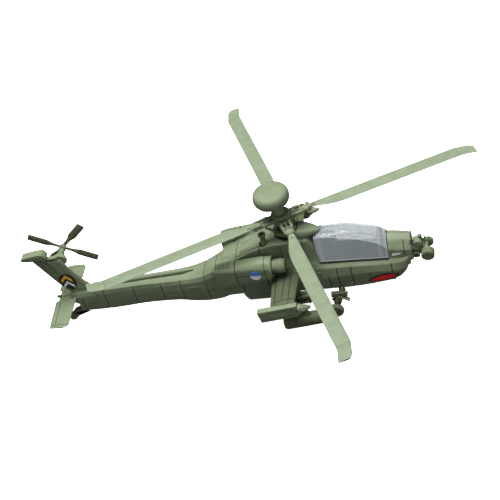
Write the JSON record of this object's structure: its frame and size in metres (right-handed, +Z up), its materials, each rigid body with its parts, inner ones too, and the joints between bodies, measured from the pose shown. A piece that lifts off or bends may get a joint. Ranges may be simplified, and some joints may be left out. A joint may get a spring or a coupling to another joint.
{
  "type": "toy helicopter",
  "caption": "snap-together toy attack helicopter in matte green plastic with a clear canopy, a spinning main rotor under a round mast dome, a spinning tail rotor and rolling wheels",
  "frame": {"origin": "on the surface under the wheels, below the middle of the overall box", "axes": "+X to the nose, +Y to the left side, +Z up"},
  "size_m": [0.1726, 0.1388, 0.0546],
  "materials": {
    "sage_plastic": "matte moulded plastic, sage green",
    "olive_plastic": "matte moulded plastic, olive green",
    "wheel_plastic": "matte moulded plastic, dark olive",
    "cockpit_plastic": "matte moulded plastic, grey green",
    "figure_plastic": "matte moulded plastic, pale grey green",
    "clear_canopy": "clear moulded polystyrene with frosted frames"
  },
  "bodies": {
    "airframe": {"fuselage_left": "sage_plastic", "fuselage_right": "sage_plastic", "mast_fairing": "sage_plastic", "radome": "sage_plastic", "tail_fin": "sage_plastic", "fin_cap": "sage_plastic", "tail_gearbox": "sage_plastic", "tailplane": "sage_plastic", "nacelle_left": "sage_plastic", "nacelle_right": "sage_plastic", "intake_left": "sage_plastic", "intake_right": "sage_plastic", "wing_left": "sage_plastic", "wing_right": "sage_plastic", "tip_launcher_left": "sage_plastic", "tip_launcher_right": "sage_plastic", "tip_seeker_left": "sage_plastic", "tip_seeker_right": "sage_plastic", "stand_block": "sage_plastic", "sensor_neck": "sage_plastic", "night_sensor": "sage_plastic", "sensor_drum_left": "sage_plastic", "sensor_drum_right": "sage_plastic", "mast_base": "olive_plastic", "mast_pin": "olive_plastic", "rocket_pod_left": "olive_plastic", "rocket_pod_right": "olive_plastic", "outer_pylon_left": "olive_plastic", "outer_pylon_right": "olive_plastic", "missile_rack_left": "olive_plastic", "missile_rack_right": "olive_plastic", "gear_leg_left": "olive_plastic", "gear_leg_right": "olive_plastic", "tail_fork": "olive_plastic", "tail_axle": "olive_plastic", "cockpit_tub": "cockpit_plastic", "front_seat": "cockpit_plastic", "rear_seat": "cockpit_plastic", "front_panel": "cockpit_plastic", "rear_panel": "cockpit_plastic", "front_pilot": "figure_plastic", "rear_pilot": "figure_plastic", "canopy": "clear_canopy"},
    "main_rotor": {"rotor_hub": "olive_plastic", "swash_ring": "olive_plastic", "main_blade_1": "sage_plastic", "main_blade_2": "sage_plastic", "main_blade_3": "sage_plastic", "main_blade_4": "sage_plastic", "pitch_link_1": "olive_plastic", "pitch_link_2": "olive_plastic", "pitch_link_3": "olive_plastic", "pitch_link_4": "olive_plastic"},
    "tail_rotor": {"tail_rotor_hub": "olive_plastic", "tail_blades_inner": "olive_plastic", "tail_blades_outer": "olive_plastic"},
    "wheel_left_body": {"wheel_left": "wheel_plastic"},
    "wheel_right_body": {"wheel_right": "wheel_plastic"},
    "tail_wheel_body": {"tail_wheel": "wheel_plastic"},
    "gun": {"chain_gun": "olive_plastic"}
  },
  "joints": [
    {"name": "main_rotor_spin", "type": "hinge", "parent": "airframe", "child": "main_rotor", "pos_m": [0.0169, 0, 0.042], "axis": [0, 0, 1], "continuous": true},
    {"name": "tail_rotor_spin", "type": "hinge", "parent": "airframe", "child": "tail_rotor", "pos_m": [-0.0726, 0.0074, 0.0316], "axis": [0, 1, 0], "continuous": true},
    {"name": "wheel_left_roll", "type": "hinge", "parent": "airframe", "child": "wheel_left_body", "pos_m": [0.0298, 0.0107, 0.00285], "axis": [0, 1, 0], "continuous": true},
    {"name": "wheel_right_roll", "type": "hinge", "parent": "airframe", "child": "wheel_right_body", "pos_m": [0.0298, -0.0107, 0.00285], "axis": [0, 1, 0], "continuous": true},
    {"name": "tail_wheel_roll", "type": "hinge", "parent": "airframe", "child": "tail_wheel_body", "pos_m": [-0.0773, 0, 0.00175], "axis": [0, 1, 0], "continuous": true},
    {"name": "gun_turn", "type": "hinge", "parent": "airframe", "child": "gun", "pos_m": [0.0409, 0, 0.0062], "axis": [0, 0, 1], "range_deg": [-60, 60]}
  ]
}
